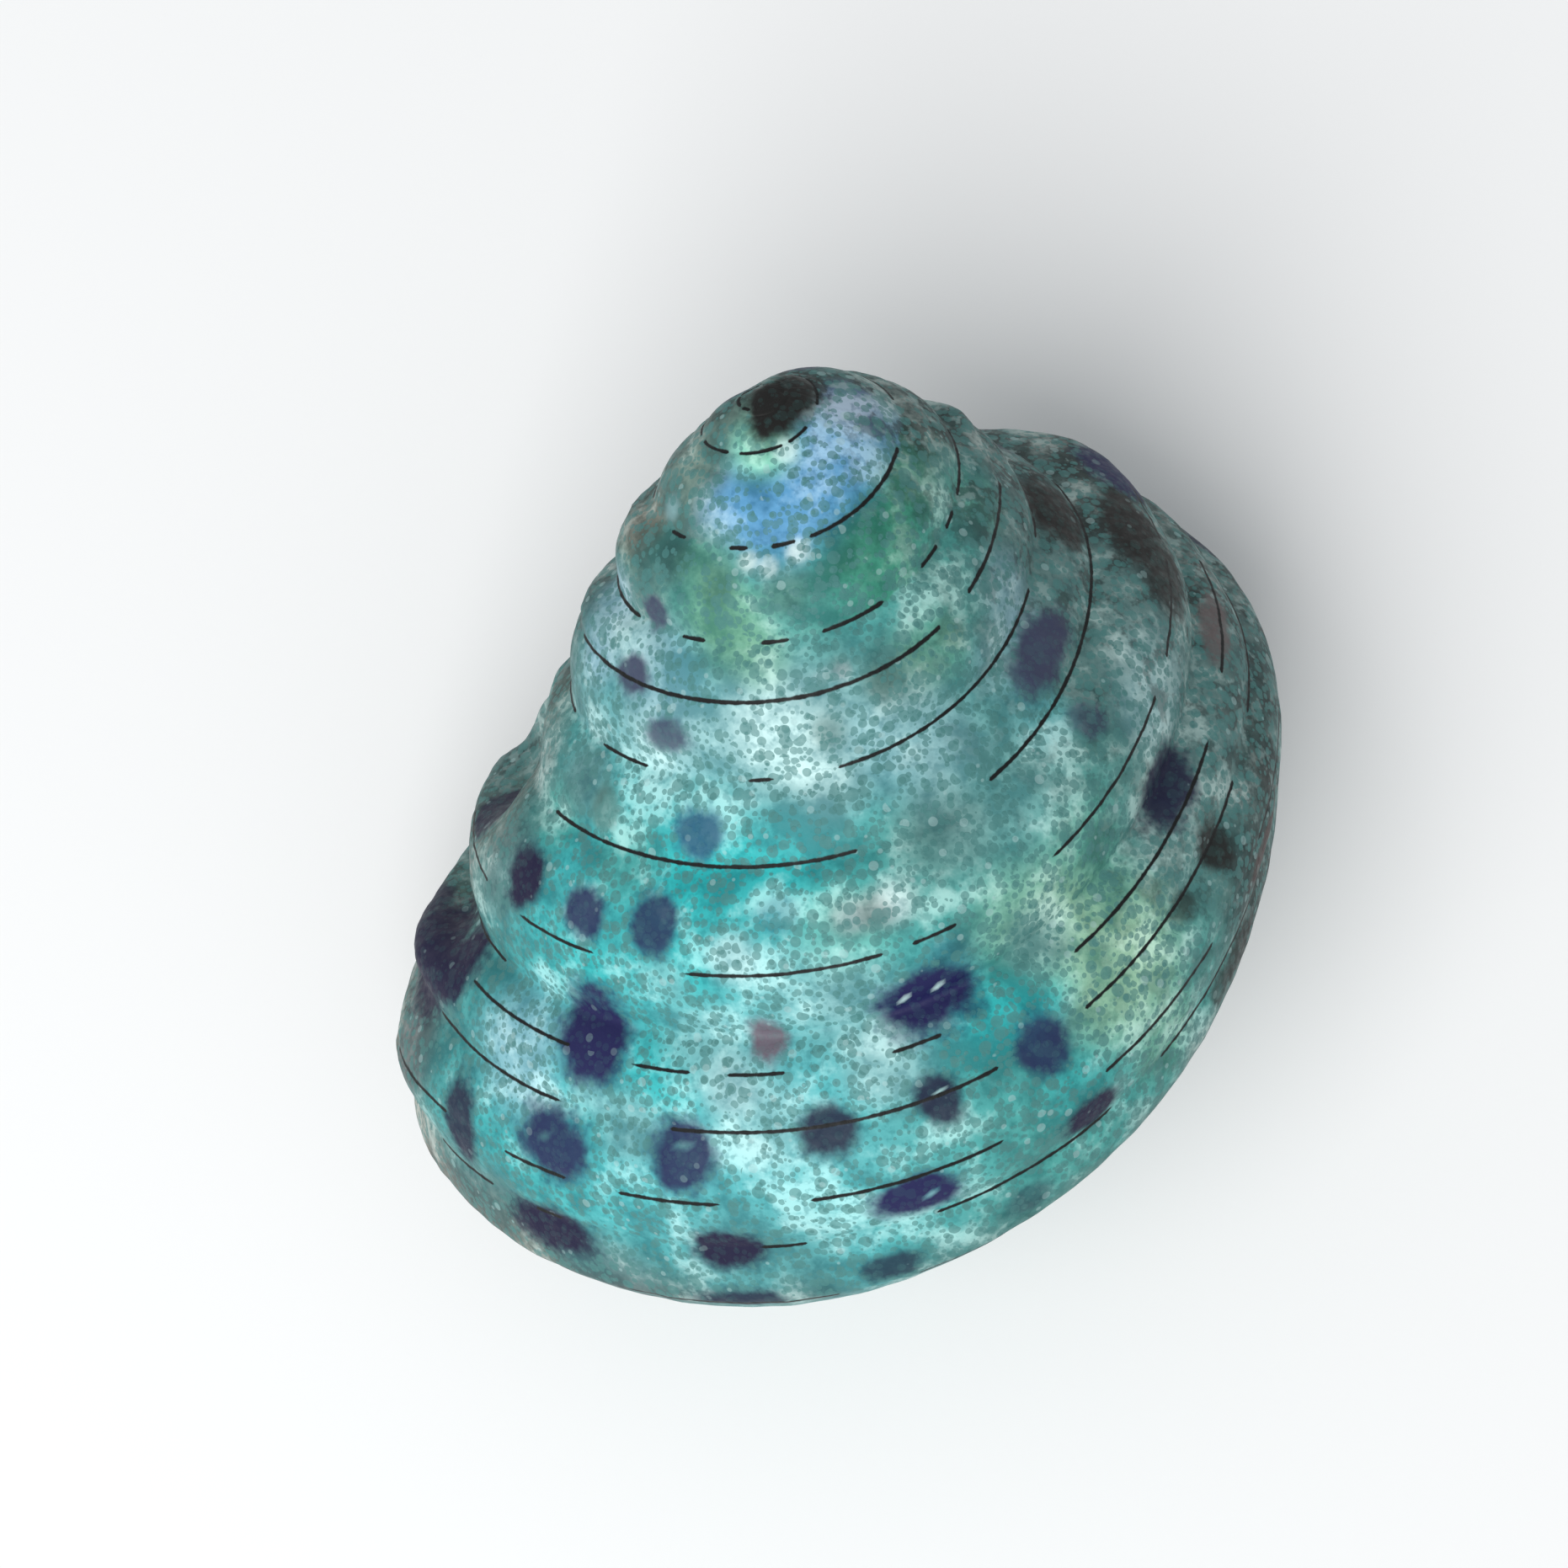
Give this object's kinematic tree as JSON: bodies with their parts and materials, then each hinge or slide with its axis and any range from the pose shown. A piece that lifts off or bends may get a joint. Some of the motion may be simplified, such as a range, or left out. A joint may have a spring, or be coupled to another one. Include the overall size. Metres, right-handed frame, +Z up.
{
  "type": "turban shell, sea snail",
  "caption": "Turban shell with a conical ridged spire, rounded spiral cords, a round open mouth and a pad beside it, lying on its base and lip.",
  "frame": {"origin": "centre of the shell's box, on the surface that it lies on", "axes": "+Z up from the surface, the spire leaning over towards +Y, +X to the right of one who looks at the spire with the mouth turned down"},
  "size_m": [0.0394, 0.039, 0.0301],
  "materials": {
    "shell": "satin"
  },
  "bodies": {
    "root": {"shell": "shell"}
  },
  "joints": []
}
